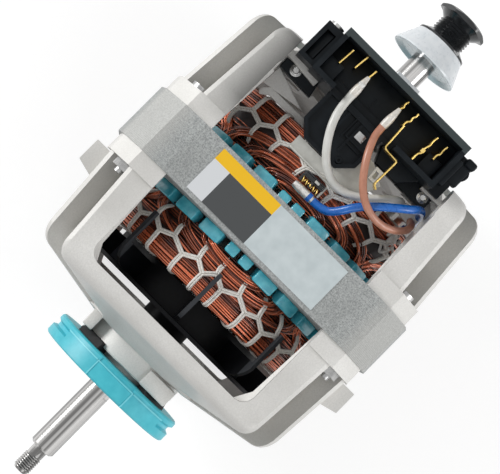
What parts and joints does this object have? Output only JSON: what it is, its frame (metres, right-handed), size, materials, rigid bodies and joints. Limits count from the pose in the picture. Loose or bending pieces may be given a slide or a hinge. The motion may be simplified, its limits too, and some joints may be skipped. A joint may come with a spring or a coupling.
{
  "type": "dryer motor",
  "caption": "Open-frame tumble dryer motor with a shaft out of both ends, fan, belt pulley, speed-sensing actuator and switch.",
  "frame": {"origin": "centre of the blower-end clamp band, on the shaft's axis", "axes": "+X along the shaft towards the belt pulley, +Z out of the switch side"},
  "size_m": [0.2752, 0.1472, 0.1427],
  "materials": {
    "lamination_steel": "varnished",
    "liner_film": "satin",
    "copper": "enamelled",
    "cord": "varnished",
    "cast_alloy": "as cast",
    "steel": "bright",
    "bronze": "sintered",
    "felt": "matt",
    "nylon": "matt",
    "teal_rubber": "matt",
    "black_plastic": "satin",
    "switch_plastic": "satin",
    "brass": "bright",
    "sticker": "satin",
    "white_jacket": "satin",
    "brown_jacket": "satin",
    "blue_jacket": "satin",
    "pale_plastic": "matt"
  },
  "bodies": {
    "motor_frame": {"stator_core": "lamination_steel", "slot_liners": "liner_film", "stator_winding": "copper", "coil_turns_blower": "copper", "coil_turns_pulley": "copper", "lacing_blower": "cord", "lacing_pulley": "cord", "end_frame_blower": "cast_alloy", "end_frame_pulley": "cast_alloy", "through_bolts": "steel", "bolt_nuts": "steel", "bearing_blower": "bronze", "bearing_pulley": "bronze", "retainer_blower": "steel", "retainer_pulley": "steel", "felt_wick_blower": "felt", "felt_wick_pulley": "felt", "ring_sleeve_blower": "steel", "ring_sleeve_pulley": "steel", "mounting_ring_blower": "teal_rubber", "mounting_ring_pulley": "teal_rubber", "switch_housing": "switch_plastic", "lever_pin": "steel", "switch_terminals": "brass", "contact_strip": "brass", "switch_screws": "steel", "side_screw": "steel", "rating_sticker": "sticker", "lead_guard": "pale_plastic", "thermal_protector": "pale_plastic", "white_lead": "white_jacket", "brown_lead": "brown_jacket", "blue_lead": "blue_jacket", "lead_connectors": "brass"},
    "rotor": {"shaft": "steel", "rotor_core": "lamination_steel", "rotor_end_rings": "cast_alloy", "thrust_washer_blower": "nylon", "thrust_washer_pulley": "nylon", "fan": "black_plastic", "pulley": "black_plastic", "governor_carrier": "steel"},
    "actuator": {"actuator_cone": "nylon", "actuator_spring": "steel"},
    "weight_front": {"governor_weight_front": "steel"},
    "weight_rear": {"governor_weight_rear": "steel"},
    "lever": {"switch_lever": "nylon"}
  },
  "joints": [
    {"name": "rotor_spin", "type": "hinge", "parent": "motor_frame", "child": "rotor", "pos_m": [0, 0, 0], "axis": [1, 0, 0], "continuous": true},
    {"name": "actuator_slide", "type": "slide", "parent": "rotor", "child": "actuator", "axis": [-1, 0, 0], "range_m": [0, 0.0145], "stiffness_N_per_m": 120, "deforming": ["actuator_spring"]},
    {"name": "weight_front_swing", "type": "hinge", "parent": "rotor", "child": "weight_front", "pos_m": [0.199, 0, 0.0094], "axis": [0, 1, 0], "range_deg": [0, 10.2]},
    {"name": "weight_rear_swing", "type": "hinge", "parent": "rotor", "child": "weight_rear", "pos_m": [0.199, 0, -0.0094], "axis": [0, -1, 0], "range_deg": [0, 10.2]},
    {"name": "lever_swing", "type": "hinge", "parent": "motor_frame", "child": "lever", "pos_m": [0.1691, 0, 0.041], "axis": [0, 1, 0], "range_deg": [0, 2.5], "stiffness_Nm_per_rad": 0.05}
  ],
  "couplings": [
    {"joint": "weight_front_swing", "follows": "actuator_slide", "rad_per_m": 12.037},
    {"joint": "weight_rear_swing", "follows": "actuator_slide", "rad_per_m": 12.037}
  ]
}
